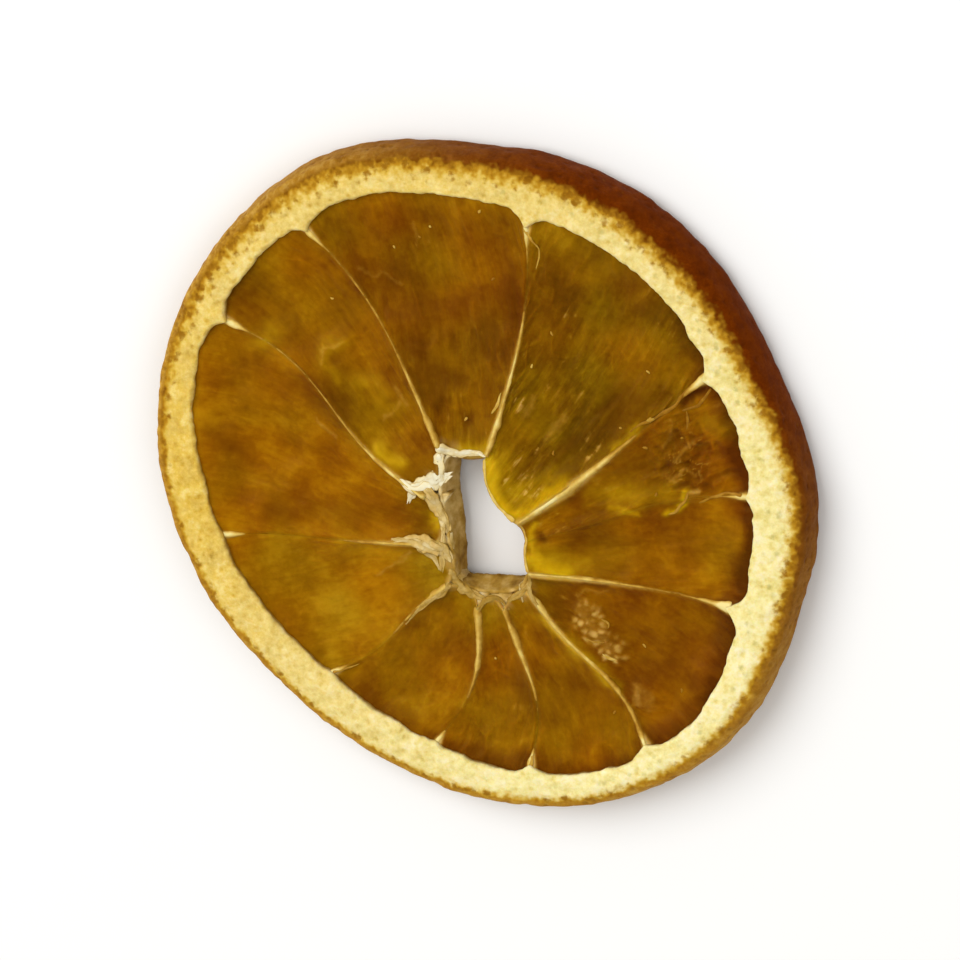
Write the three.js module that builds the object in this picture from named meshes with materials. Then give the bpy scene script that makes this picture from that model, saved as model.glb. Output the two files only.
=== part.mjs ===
// Dried orange slice: one round of fruit, cut across its segments and dried flat.
// Millimetres, +Z up. The wider cut face is down, and +X runs towards the thickest part of the rim.
import * as THREE from 'three';

// Thickness of the slice and how its edges dried
const RIM_HEIGHT = 4.4;
const CUT_EDGE_DROP = 0.3;
const PITH_CROWN = 0.15;
const BOTTOM_EDGE_TUCK = 0.5;

// The rind bellies out below the upper cut edge, most of all on its thick side
const BELLY = 0.8;
const BELLY_EXTRA = 1.0;
const BELLY_EXTRA_AT = 48;
const BELLY_EXTRA_SPREAD = 32;

// Radius of the upper cut edge about the middle of the slice, every 22.5 degrees from +X
const CUT_EDGE_RADII = [
  30.6, 28.9, 29.2, 30.1, 30.5, 32.1, 32.1, 31.6,
  30.5, 29.1, 28.3, 28.9, 30.4, 31.8, 32.3, 31.1,
];

// Width of the pale pith with its rind, at the same places
const PITH_WIDTHS = [
  4.5, 3.7, 3.3, 3.9, 3.6, 3.5, 3.4, 2.9,
  3.8, 3.8, 4.0, 3.8, 3.2, 2.7, 3.1, 4.1,
];
const CUSP_WIDTH = 2.4;

// The dried flesh lies lower than the rim on both faces
const SINK_AT_PITH = 1.05;
const SINK_AT_CORE = 0.55;
const UNDERSIDE_SINK = 0.75;
const UNDERSIDE_RELIEF = 0.5;
const MEMBRANE_HALF_WIDTH = 0.4;
const LIP_REACH = 0.2;
const CORE_EDGE_DROP = 0.3;
const RIPPLE = 0.14;

// The slice dried slightly wavy: it touches the table with three stretches of its rim
const WARP_LOBES = 0.36;
const WARP_LOBES_AT = 75;
const WARP_SADDLE = 0.06;
const WARP_SADDLE_AT = 130;
const WARP_REACH = 30;
const WARP_LIFT = 0.24;

// Membranes between the segments, counter-clockwise. rim is the angle where a membrane meets the
// pith and end is its place at the open core. bow and sway bend it sideways, cusp is the pith's
// point towards it, and crest is how far it stands up at the core and at the rim.
const MEMBRANES = [
  { rim: 26.0, end: [3.8, -3.6], bow: -0.4, sway: -0.1, cusp: 1.0, crest: [1.0, 0.3] },
  { rim: 76.5, end: [1.1, 2.6], bow: -1.1, sway: 0.1, cusp: 1.4, crest: [0.6, 0.3] },
  { rim: 123.3, end: [-3.4, 3.2], bow: -1.4, sway: 0.2, cusp: 0.9, crest: [0.6, 0.4] },
  { rim: 148.5, end: [-4.9, -1.5], bow: -0.4, sway: 0.85, cusp: 1.3, crest: [0.6, 0.2] },
  { rim: 193.6, end: [-3.8, -5.9], bow: 0.1, sway: 0.15, cusp: 0.4, crest: [0.5, 0.1] },
  { rim: 231.8, end: [-3.2, -9.9], bow: 0.5, sway: -0.4, cusp: 0.4, crest: [0.4, 0.3] },
  { rim: 258.5, end: [-0.5, -11.9], bow: 1.65, sway: 0.0, cusp: 0.3, crest: [0.5, 0.2] },
  { rim: 278.4, end: [2.1, -11.8], bow: 1.4, sway: -0.3, cusp: 1.1, crest: [0.5, 0.2] },
  { rim: 302.2, end: [4.6, -10.0], bow: 0.5, sway: -0.5, cusp: 0.9, crest: [0.5, 0.3] },
  { rim: 335.6, end: [4.6, -8.3], bow: 0.4, sway: 0.0, cusp: 1.6, crest: [0.6, 0.3] },
  { rim: 359.6, end: [4.4, -5.3], bow: 0.7, sway: -0.3, cusp: 0.6, crest: [0.3, 0.2] },
];

// Segments, each following the membrane of the same number. tip is how far its end bulges into the
// open core, lip how high that end stands, sag how deep its flesh sinks between the membranes, and
// strips how many strips its surface has.
const SEGMENTS = [
  { tip: 1.4, lip: 0.6, sag: 0.55, strips: 15 },
  { tip: 0.8, lip: 0.1, sag: 0.5, strips: 14 },
  { tip: 0.7, lip: 0.5, sag: 0.35, strips: 8 },
  { tip: 1.2, lip: 0.4, sag: 0.5, strips: 14 },
  { tip: 1.0, lip: 0.3, sag: 0.45, strips: 12 },
  { tip: 1.1, lip: 0.1, sag: 0.4, strips: 9 },
  { tip: 1.1, lip: 0.1, sag: 0.35, strips: 7 },
  { tip: 0.6, lip: 0.1, sag: 0.35, strips: 8 },
  { tip: 0.2, lip: 0.1, sag: 0.45, strips: 10 },
  { tip: 0.3, lip: 0.5, sag: 0.35, strips: 8 },
  { tip: 0.0, lip: 0.3, sag: 0.4, strips: 8 },
];
const OPEN_CORE_MIDDLE = new THREE.Vector2(0.6, -4.6);

// Places of the surface's rows: from the open core (0) to the pith (1), and across the pith
const TOP_ROWS = [0, 0.04, 0.11, 0.22, 0.36, 0.5, 0.64, 0.78, 0.89, 0.96, 1];
const UNDERSIDE_ROWS = [1, 0.95, 0.84, 0.68, 0.5, 0.32, 0.15, 0.05, 0];
const PITH_ROWS_UP = [0.1, 0.35, 0.65, 0.88];
const PITH_ROWS_DOWN = [0.88, 0.55, 0.12];
const RIND_ROWS = [0.86, 0.62, 0.36, 0.14];

const PITH_COLOUR = 0xe6cf86;

const lerp = THREE.MathUtils.lerp;
const radians = THREE.MathUtils.degToRad;

// A smooth closed curve through values that are evenly spaced round the slice
function around(values, degrees) {
  const place = THREE.MathUtils.euclideanModulo(degrees / 360, 1) * values.length;
  const at = Math.floor(place);
  const t = place - at;
  const [a, b, c, d] = [-1, 0, 1, 2].map((step) => values[(at + step + values.length) % values.length]);
  const slope = 0.5 * (c - a);
  const nextSlope = 0.5 * (d - b);
  return b + t * (slope + t * (3 * (c - b) - 2 * slope - nextSlope + t * (2 * (b - c) + slope + nextSlope)));
}

function polar(radius, degrees) {
  return new THREE.Vector2(radius * Math.cos(radians(degrees)), radius * Math.sin(radians(degrees)));
}

// How much of the rind's extra belly reaches a direction, from 0 to 1
function bellyShare(degrees) {
  const away = THREE.MathUtils.euclideanModulo(degrees - BELLY_EXTRA_AT + 180, 360) - 180;
  return Math.exp(-((away / BELLY_EXTRA_SPREAD) ** 2));
}

function warp(place) {
  const angle = place.angle();
  const reach = (place.length() / WARP_REACH) ** 2;
  const lobes = WARP_LOBES * Math.cos(3 * (angle - radians(WARP_LOBES_AT)));
  const saddle = WARP_SADDLE * Math.cos(2 * (angle - radians(WARP_SADDLE_AT)));
  return reach * (lobes + saddle);
}

function topLevel(place) {
  return RIM_HEIGHT + WARP_LIFT + warp(place);
}

// The rim's underside stops at the table, which leaves three flat stretches on it
function bottomLevel(place) {
  return Math.max(0, WARP_LIFT + warp(place));
}

// Small uneven swellings of the flesh
function ripple(place) {
  const across = Math.sin(0.62 * place.x + 0.9) * Math.sin(0.71 * place.y - 0.5);
  const slanting = Math.sin(0.33 * (place.x + place.y) + 2.1) * Math.sin(0.95 * (place.x - place.y));
  return RIPPLE * (across + 0.7 * slanting);
}

// The segment that follows membrane number index, between its two membranes
function segmentOf(index) {
  const first = MEMBRANES[index];
  const second = MEMBRANES[(index + 1) % MEMBRANES.length];
  const lastRim = second.rim > first.rim ? second.rim : second.rim + 360;
  return { ...SEGMENTS[index], first, second, firstRim: first.rim, lastRim };
}

// Share of the segment's width at strip number step, with the strips beside a membrane kept narrow
function shareAt(step, strips, width) {
  if (step === 0) return 0;
  const flank = Math.min(MEMBRANE_HALF_WIDTH / width, 1 / 4);
  return lerp(flank, 1 - flank, (step - 1) / (strips - 2));
}

// The open core's edge between two membranes, with the segment's rounded end
function corePlace(segment, share) {
  const from = new THREE.Vector2(...segment.first.end);
  const to = new THREE.Vector2(...segment.second.end);
  const side = new THREE.Vector2(-(to.y - from.y), to.x - from.x).normalize();
  const inward = OPEN_CORE_MIDDLE.clone().sub(from).dot(side) > 0 ? side : side.negate();
  return from.lerp(to, share).addScaledVector(inward, segment.tip * Math.sin(Math.PI * share) ** 0.8);
}

// The pith's inner edge: its width varies, and it comes to a point at each membrane
function pithPlace(segment, share) {
  const degrees = lerp(segment.firstRim, segment.lastRim, share);
  const radius = around(CUT_EDGE_RADII, degrees);
  const length = radians(segment.lastRim - segment.firstRim) * radius;
  const point = (cusp, away) => cusp * Math.max(0, 1 - (away * length) / CUSP_WIDTH) ** 2;
  const points = point(segment.first.cusp, share) + point(segment.second.cusp, 1 - share);
  return polar(radius - around(PITH_WIDTHS, degrees) - points, degrees);
}

// One strip of the surface, from the open core out to the rind
function makeColumn(segment, step) {
  const { first, second, firstRim, lastRim, strips } = segment;
  const coreWidth = Math.hypot(second.end[0] - first.end[0], second.end[1] - first.end[1]);
  const rimWidth = radians(lastRim - firstRim) * around(CUT_EDGE_RADII, firstRim);
  const coreShare = shareAt(step, strips, coreWidth);
  const rimShare = shareAt(step, strips, rimWidth);
  const degrees = lerp(firstRim, lastRim, step / strips);
  return {
    segment,
    isMembrane: step === 0,
    share: step / strips,
    core: corePlace(segment, coreShare),
    pith: pithPlace(segment, rimShare),
    degrees,
    edge: polar(around(CUT_EDGE_RADII, degrees), degrees),
  };
}

// Place in the flesh at t, from the open core (0) to the pith (1), bent sideways as the membranes are
function fleshPlace(column, t) {
  const { first, second } = column.segment;
  const bow = lerp(first.bow, second.bow, column.share) * Math.sin(Math.PI * t);
  const sway = lerp(first.sway, second.sway, column.share) * Math.sin(2 * Math.PI * t);
  const along = column.pith.clone().sub(column.core);
  const side = new THREE.Vector2(-along.y, along.x).normalize();
  return column.core.clone().addScaledVector(along, t).addScaledVector(side, bow + sway);
}

// How far the flesh lies below the rim's level: it sags between membranes, and they stand up
function fleshSink(column, t, place) {
  const { first, lip, sag } = column.segment;
  const level = lerp(SINK_AT_CORE, SINK_AT_PITH, t ** 0.8);
  const round = t === 0 ? CORE_EDGE_DROP : 0;
  const crest = lerp(first.crest[0], first.crest[1], t ** 0.6);
  const raised = column.isMembrane ? crest : lip * Math.max(0, 1 - t / LIP_REACH);
  const across = Math.sin(Math.PI * column.share) ** 0.7;
  const along = Math.sin(Math.PI * lerp(0.12, 0.98, t));
  return level + round + sag * across * along + ripple(place) * Math.sin(Math.PI * t) - raised;
}

function lift(place, height) {
  return new THREE.Vector3(place.x, place.y, height);
}

function fleshTop(column, t) {
  const place = fleshPlace(column, t);
  return lift(place, topLevel(place) - fleshSink(column, t, place));
}

function fleshUnderside(column, t) {
  const place = fleshPlace(column, t);
  const relief = UNDERSIDE_RELIEF * (fleshSink(column, t, place) - SINK_AT_PITH);
  return lift(place, WARP_LIFT + warp(place) + UNDERSIDE_SINK + relief);
}

function pithTop(column, share) {
  const place = column.pith.clone().lerp(column.edge, share);
  const crown = PITH_CROWN * Math.sin(Math.PI * share) - CUT_EDGE_DROP * share ** 4;
  return lift(place, topLevel(place) + crown);
}

function pithUnderside(column, share) {
  const outer = rindPlace(column, 0);
  const place = column.pith.clone().lerp(outer, share);
  return lift(place, bottomLevel(place));
}

// Outside of the rind at a height share, from the bottom (0) to the upper cut edge (1)
function rindPlace(column, height) {
  const belly = BELLY + BELLY_EXTRA * bellyShare(column.degrees);
  const bulge = belly * Math.sqrt(Math.max(0, 1 - height ** 2));
  const tuck = BOTTOM_EDGE_TUCK * Math.max(0, 1 - height / 0.3) ** 2;
  return column.edge.clone().setLength(column.edge.length() + bulge - tuck);
}

function rindPoint(column, height) {
  const place = rindPlace(column, height);
  const top = topLevel(place) - CUT_EDGE_DROP;
  return lift(place, lerp(bottomLevel(place), top, height));
}

// The whole section through one strip, as a closed loop
function section(column) {
  return [
    ...TOP_ROWS.map((t) => fleshTop(column, t)),
    ...PITH_ROWS_UP.map((share) => pithTop(column, share)),
    pithTop(column, 1),
    ...RIND_ROWS.map((height) => rindPoint(column, height)),
    rindPoint(column, 0),
    ...PITH_ROWS_DOWN.map((share) => pithUnderside(column, share)),
    ...UNDERSIDE_ROWS.map((t) => fleshUnderside(column, t)),
  ];
}

// Joins the sections into one closed ring
function ringGeometry(sections) {
  const rows = sections[0].length;
  const corner = (column, row) => (column % sections.length) * rows + (row % rows);
  const triangles = [];
  for (let column = 0; column < sections.length; column += 1) {
    for (let row = 0; row < rows; row += 1) {
      const [a, b] = [corner(column, row), corner(column, row + 1)];
      const [c, d] = [corner(column + 1, row + 1), corner(column + 1, row)];
      triangles.push(a, b, c, a, c, d);
    }
  }
  const geometry = new THREE.BufferGeometry();
  const points = sections.flat().flatMap((point) => point.toArray());
  geometry.setAttribute('position', new THREE.Float32BufferAttribute(points, 3));
  geometry.setIndex(triangles);
  return geometry;
}

function makeSlice() {
  const columns = SEGMENTS.flatMap(({ strips }, index) => {
    const segment = segmentOf(index);
    return Array.from({ length: strips }, (_, step) => makeColumn(segment, step));
  });
  const geometry = ringGeometry(columns.map(section));
  geometry.computeBoundingBox();
  const middle = geometry.boundingBox.getCenter(new THREE.Vector3());
  geometry.translate(-middle.x, -middle.y, -geometry.boundingBox.min.z);
  geometry.computeVertexNormals();
  const material = new THREE.MeshStandardMaterial({ color: PITH_COLOUR, roughness: 0.7, metalness: 0 });
  const slice = new THREE.Mesh(geometry, material);
  slice.name = 'dried_orange_slice';
  return slice;
}

const group = new THREE.Group();
group.add(makeSlice());

export default group;
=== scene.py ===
"""Dried orange slice: its flesh, membranes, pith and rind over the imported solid.

Sizes are in millimetres and turned into metres when a mesh is made. The driving dimensions
repeat those of the solid, so the two have one shape.
"""
import math

import bpy
import numpy as np
from mathutils import Matrix, Vector
from mathutils.kdtree import KDTree
from numpy.linalg import norm


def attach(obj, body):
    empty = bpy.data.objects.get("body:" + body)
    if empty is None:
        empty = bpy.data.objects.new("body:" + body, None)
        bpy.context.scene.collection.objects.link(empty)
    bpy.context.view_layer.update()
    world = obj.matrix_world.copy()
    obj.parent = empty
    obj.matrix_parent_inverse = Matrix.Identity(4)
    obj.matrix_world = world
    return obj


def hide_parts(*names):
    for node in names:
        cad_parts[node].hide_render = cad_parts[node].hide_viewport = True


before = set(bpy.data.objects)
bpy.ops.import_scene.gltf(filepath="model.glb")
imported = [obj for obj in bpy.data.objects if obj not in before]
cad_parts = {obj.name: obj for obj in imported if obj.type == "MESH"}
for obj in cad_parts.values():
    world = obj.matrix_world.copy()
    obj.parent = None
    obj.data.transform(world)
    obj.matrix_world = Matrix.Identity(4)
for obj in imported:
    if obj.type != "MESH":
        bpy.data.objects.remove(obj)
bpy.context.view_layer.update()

NODE = "dried_orange_slice"
MM = 0.001

# Thickness of the slice and how its edges dried
RIM_HEIGHT = 4.4
CUT_EDGE_DROP = 0.3
PITH_CROWN = 0.1
BOTTOM_EDGE_TUCK = 0.5
RIM_CORNER = 0.32

# The rind bellies out below the upper cut edge, most of all on its thick side
BELLY = 0.8
BELLY_EXTRA = 1.0
BELLY_EXTRA_AT = 48
BELLY_EXTRA_SPREAD = 32

# Radius of the upper cut edge about the middle of the slice, every 22.5 degrees from +X
CUT_EDGE_RADII = np.array([
    30.6, 28.9, 29.2, 30.1, 30.5, 32.1, 32.1, 31.6,
    30.5, 29.1, 28.3, 28.9, 30.4, 31.8, 32.3, 31.1,
])

# Width of the pale pith with its rind, at the same places
PITH_WIDTHS = np.array([
    4.5, 3.7, 3.3, 3.9, 3.6, 3.5, 3.4, 2.9,
    3.8, 3.8, 4.0, 3.8, 3.2, 2.7, 3.1, 4.1,
])
CUSP_WIDTH = 2.4

# Every 45 degrees: how far the rind's speckles reach into the cut face, how golden the pith is, how
# many greenish vessels show in it, how far the rind is out of its painted shade (a darker peel painted
# as if slices lying against its upper right shaded it), how pale the rind's upper edge is, and how much
# painted shade darkens the flesh beside the pith (negative values lighten it)
SPECKLE_REACH = np.array([1.2, 1.4, 1.7, 1.7, 0.9, 0.65, 0.75, 0.85])
GOLDEN_PITH = np.array([0.1, 0.35, 0.7, 0.7, 1.0, 0.6, 0.1, 0.0])
GREEN_PITH = np.array([0.8, 0.7, 0.4, 0.15, 0.05, 0.1, 0.3, 0.7])
RIND_OUT_OF_PAINTED_SHADE = np.array([0.1, 0.0, 0.1, 0.8, 1.0, 1.0, 1.0, 0.8])
PALE_EDGE = np.array([0.0, 0.0, 0.0, 1.0, 0.8, 0.2, 0.0, 0.0])
PAINTED_SHADE_BY_PITH = np.array([0.9, 0.15, -0.3, 0.0, -0.2, 0.2, 0.45, 0.4])

# The dried flesh lies lower than the rim on both faces
SINK_AT_PITH = 1.05
SINK_AT_CORE = 0.55
UNDERSIDE_SINK = 0.75
PITH_CLIMB = 0.5
UNDERSIDE_RELIEF = 0.5
LIP_REACH = 0.2

# The slice dried slightly wavy
WARP_LOBES = 0.36
WARP_LOBES_AT = math.radians(75)
WARP_SADDLE = 0.06
WARP_SADDLE_AT = math.radians(130)
WARP_REACH = 30
WARP_LIFT = 0.24

# Membranes between the segments, counter-clockwise. rim is the angle where a membrane meets the
# pith and end is its place at the open core. bow and sway bend it sideways, cusp is the pith's point
# towards it, and root is how far torn tissue goes on from its end.
MEMBRANE_MEASURES = ("rim", "end", "bow", "sway", "cusp", "root")
MEMBRANES = [dict(zip(MEMBRANE_MEASURES, row)) for row in (
    (26.0, (3.8, -3.6), -0.4, -0.1, 1.0, 0.0),
    (76.5, (1.1, 2.6), -1.1, 0.1, 1.4, 0.0),
    (123.3, (-3.4, 3.2), -1.4, 0.2, 0.9, 1.1),
    (148.5, (-4.9, -1.5), -0.4, 0.85, 1.3, 1.7),
    (193.6, (-3.8, -5.9), 0.1, 0.15, 0.4, 1.1),
    (231.8, (-3.2, -9.9), 0.5, -0.4, 0.4, 1.2),
    (258.5, (-0.5, -11.9), 1.65, 0.0, 0.3, 1.5),
    (278.4, (2.1, -11.8), 1.4, -0.3, 1.1, 1.4),
    (302.2, (4.6, -10.0), 0.5, -0.5, 0.9, 0.9),
    (335.6, (4.6, -8.3), 0.4, 0.0, 1.6, 0.0),
    (359.6, (4.4, -5.3), 0.7, -0.3, 0.6, 0.0),
)]

# The upper edge of the same membranes at five places from core to rim: how far the flesh rises to
# it, how wide it is to each side, and how light it is
EDGES = [
    ((0.45, 0.45, 0.25, 0.05, 0.2), (0.3, 0.5, 0.24, 0.1, 0.2), (0.8, 1.0, 0.5, 0.15, 0.5)),
    ((0.35, 0.28, 0.2, 0.05, 0.15), (0.3, 0.26, 0.18, 0.08, 0.16), (0.8, 0.7, 0.6, 0.15, 0.5)),
    ((0.35, 0.28, 0.2, 0.16, 0.12), (0.34, 0.24, 0.16, 0.14, 0.13), (0.8, 0.6, 0.3, 0.35, 0.3)),
    ((0.35, 0.28, 0.18, 0.1, 0.12), (0.28, 0.22, 0.15, 0.12, 0.15), (0.8, 0.65, 0.35, 0.35, 0.3)),
    ((0.3, 0.3, 0.15, 0.0, 0.05), (0.36, 0.24, 0.12, 0.06, 0.1), (0.7, 0.65, 0.2, 0.0, 0.1)),
    ((0.25, 0.28, 0.12, 0.03, 0.15), (0.34, 0.34, 0.18, 0.08, 0.16), (0.5, 0.45, 0.3, 0.05, 0.4)),
    ((0.28, 0.28, 0.15, 0.0, 0.08), (0.34, 0.36, 0.22, 0.1, 0.12), (0.55, 0.65, 0.5, 0.15, 0.2)),
    ((0.28, 0.32, 0.12, 0.0, 0.15), (0.3, 0.38, 0.2, 0.1, 0.16), (0.55, 0.75, 0.5, 0.15, 0.35)),
    ((0.3, 0.26, 0.2, 0.15, 0.15), (0.34, 0.32, 0.24, 0.2, 0.2), (0.8, 0.75, 0.6, 0.45, 0.45)),
    ((0.32, 0.32, 0.2, 0.08, 0.2), (0.28, 0.26, 0.18, 0.12, 0.24), (0.75, 0.75, 0.5, 0.25, 0.7)),
    ((0.0, 0.0, 0.0, 0.03, 0.15), (0.06, 0.06, 0.06, 0.08, 0.16), (0.0, 0.0, 0.0, 0.15, 0.45)),
]

# Segments, each following the membrane of the same number. tip is how far its end bulges into the
# open core, lip how high that end stands and sag how deep its flesh sinks. tone is how light the
# flesh is, olive how far from red-brown, pith how much pith clings to its end, and grainy how many
# light fibres show in it.
SEGMENT_MEASURES = ("tip", "lip", "sag", "tone", "olive", "pith", "grainy")
SEGMENTS = [dict(zip(SEGMENT_MEASURES, row)) for row in (
    (1.4, 0.6, 0.6, 0.45, 0.65, 0.0, 1.0),
    (0.8, 0.1, 0.6, 0.45, 0.35, 0.3, 0.6),
    (0.7, 0.5, 0.45, 0.53, 0.25, 0.2, 0.5),
    (1.2, 0.4, 0.6, 0.68, 0.15, 0.5, 0.25),
    (1.0, 0.3, 0.55, 0.77, 0.25, 0.6, 0.2),
    (1.1, 0.1, 0.5, 0.65, 0.25, 0.4, 0.3),
    (1.1, 0.1, 0.45, 0.65, 0.2, 0.4, 0.75),
    (0.6, 0.1, 0.45, 0.6, 0.1, 0.4, 0.6),
    (0.2, 0.1, 0.5, 0.47, 0.15, 0.1, 0.4),
    (0.3, 0.5, 0.4, 0.57, 0.15, 0.0, 0.3),
    (0.0, 0.3, 0.4, 0.5, 0.2, 0.0, 0.7),
)]
OPEN_CORE_MIDDLE = np.array([0.6, -4.6])

# Marks on the flesh, by colour: how strong one is, how far it reaches to each side, how far the flesh
# rises there, and its path
YELLOW_MARKS = [
    (1.0, 0.8, 0.3, [
        (1.7, 2.0), (1.6, 0.2), (2.0, -1.3), (3.4, -2.5), (5.0, -2.1), (6.7, -0.8), (8.4, 0.3),
    ]),
    (0.35, 1.2, 0.0, [(2.6, 2.4), (2.9, -0.2), (4.4, -0.9), (7.0, 0.7)]),
    (1.0, 0.8, 0.15, [(5.2, -6.6), (5.9, -7.4), (8.4, -7.9)]),
    (0.7, 0.4, 0.1, [(5.3, -3.6), (5.0, -4.8), (4.9, -6.4)]),
    (0.3, 0.8, 0.0, [(6.4, -6.6), (9.6, -7.4)]),
    (0.8, 0.5, -0.1, [(-4.3, -3.3), (-4.2, -4.5)]),
    (0.7, 0.6, 0.1, [(-9.6, 2.6), (-8.3, 1.8), (-7.3, 1.4)]),
    (0.6, 0.6, 0.0, [(1.2, 3.8), (0.5, 3.0), (-1.2, 3.3)]),
    (0.25, 0.6, 0.12, [(-12.4, 12.6), (-14.5, 12.1), (-14.6, 10.7), (-13.0, 9.4)]),
    (0.25, 0.9, 0.1, [(-11.1, 8.8), (-10.0, 9.2), (-8.7, 8.0), (-9.1, 6.8), (-7.6, 6.7)]),
    (0.3, 0.9, 0.1, [(-20.6, 12.4), (-19.4, 13.4)]),
    (0.4, 1.1, 0.1, [(11.2, -0.6), (13.6, -0.4), (15.7, -0.8), (18.0, -0.2)]),
    (0.5, 0.4, 0.1, [(12.5, -1.9), (15.2, -2.3)]),
    (0.9, 0.3, 0.15, [(18.0, -2.3), (18.7, -2.0), (19.5, -1.2), (19.9, -0.1)]),
    (0.5, 0.35, 0.05, [(13.0, 4.1), (14.3, 4.7), (15.3, 5.7)]),
    (0.5, 0.55, 0.0, [(5.9, -12.6), (7.9, -14.6), (9.9, -16.4), (12.4, -19.0)]),
    (0.25, 0.9, 0.0, [(21.8, 6.4), (23.9, 6.1)]),
]
DARK_MARKS = [
    (0.8, 0.6, -0.15, [(-0.7, 5.8)]),
    (0.75, 0.4, -0.15, [(6.0, -5.0), (6.5, -5.2)]),
    (0.3, 0.7, 0.0, [(8.5, -5.4), (15.0, -5.2)]),
    (0.9, 0.45, -0.35, [(19.9, 8.1), (20.7, 8.9), (21.5, 9.8)]),
    (0.6, 0.5, -0.25, [(17.5, 1.8), (18.1, 2.0)]),
    (0.6, 0.4, -0.2, [(20.0, 2.3)]),
    (0.6, 0.45, -0.15, [(23.7, 1.8), (24.6, 1.8)]),
    (0.4, 0.4, -0.1, [(22.1, 3.7)]),
    (0.35, 0.9, 0.0, [(14.2, 2.5), (17.9, 2.1)]),
    (0.45, 0.8, 0.0, [(15.1, 8.3), (17.0, 8.1), (18.2, 8.9)]),
    (0.4, 0.5, -0.1, [(11.9, 6.8), (14.5, 9.2)]),
    (0.4, 0.6, 0.0, [(15.2, -16.3)]),
    (0.4, 0.35, -0.1, [(9.9, -9.4), (11.9, -9.4)]),
    (0.4, 1.0, 0.0, [(4.2, 20.5), (4.1, 16.0)]),
    (0.45, 1.1, -0.1, [(-6.0, 12.6), (-2.6, 9.6)]),
    (0.3, 1.1, 0.0, [(9.0, 3.5), (14.5, 7.5)]),
    (0.4, 1.2, 0.0, [(-17.0, 9.0), (-13.0, 6.0)]),
    (0.35, 1.3, 0.0, [(-25.5, 4.0), (-23.5, 2.0)]),
    (0.35, 1.3, 0.0, [(-20.0, -3.5), (-7.5, -3.2)]),
    (0.35, 1.0, 0.0, [(3.3, -18.5), (4.6, -21.5)]),
    (0.45, 0.8, 0.0, [(4.2, 1.0), (6.2, 2.0), (9.3, 4.4)]),
]
PALE_MARKS = [
    (0.35, 1.1, 0.25, [(9.4, -11.4), (10.6, -13.4), (12.2, -15.6)]),
    (0.3, 0.3, 0.04, [(-5.0, 24.2), (-4.8, 22.0)]),
    (0.25, 0.3, 0.04, [(-3.7, 24.0), (-3.6, 22.4)]),
    (0.35, 0.3, 0.1, [(19.2, 3.4), (20.4, 4.4), (21.2, 4.2)]),
    (0.35, 0.3, 0.1, [(18.4, 1.0), (19.6, 1.9), (20.8, 1.6)]),
    (0.3, 0.35, 0.1, [(17.6, 4.2), (18.6, 5.4), (18.4, 6.4)]),
    (0.45, 0.35, 0.1, [(20.1, -0.5), (21.0, 0.2)]),
    (0.4, 0.25, 0.08, [(-12.4, 12.7), (-14.6, 12.2), (-14.8, 10.9)]),
    (0.25, 0.3, 0.05, [(-10.6, 19.6), (-9.7, 19.1), (-8.2, 19.2), (-6.7, 18.5)]),
    (0.35, 0.35, 0.05, [(-6.6, -6.8), (-8.5, -8.2), (-10.3, -9.4)]),
    (0.35, 0.3, 0.08, [(-15.5, 5.1), (-13.7, 3.7)]),
    (0.35, 0.35, 0.05, [(-9.0, 5.6), (-7.9, 6.2), (-7.2, 7.4)]),
    (0.35, 0.35, 0.05, [(-7.4, 8.6), (-6.6, 7.2)]),
    (0.4, 0.6, 0.12, [(14.4, -18.8), (14.6, -20.3)]),
    (0.3, 0.5, 0.08, [(14.8, -20.4), (15.8, -20.0)]),
    (0.3, 0.9, 0.05, [(15.0, -19.4), (15.6, -20.6)]),
    (0.3, 0.3, 0.05, [(8.9, -10.5), (10.2, -10.2), (11.9, -9.9)]),
    (0.3, 0.6, 0.05, [(4.6, 6.2), (5.4, 8.4)]),
    (0.3, 0.6, 0.05, [(6.4, 4.4), (8.4, 6.2)]),
]
MARKS = {"yellow": YELLOW_MARKS, "dark": DARK_MARKS, "pale": PALE_MARKS}

# Where the flesh has dried in crumples, and how far they reach
CRUMPLES_AT = np.array([19.8, 3.2])
CRUMPLES_REACH = 3.8

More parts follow.
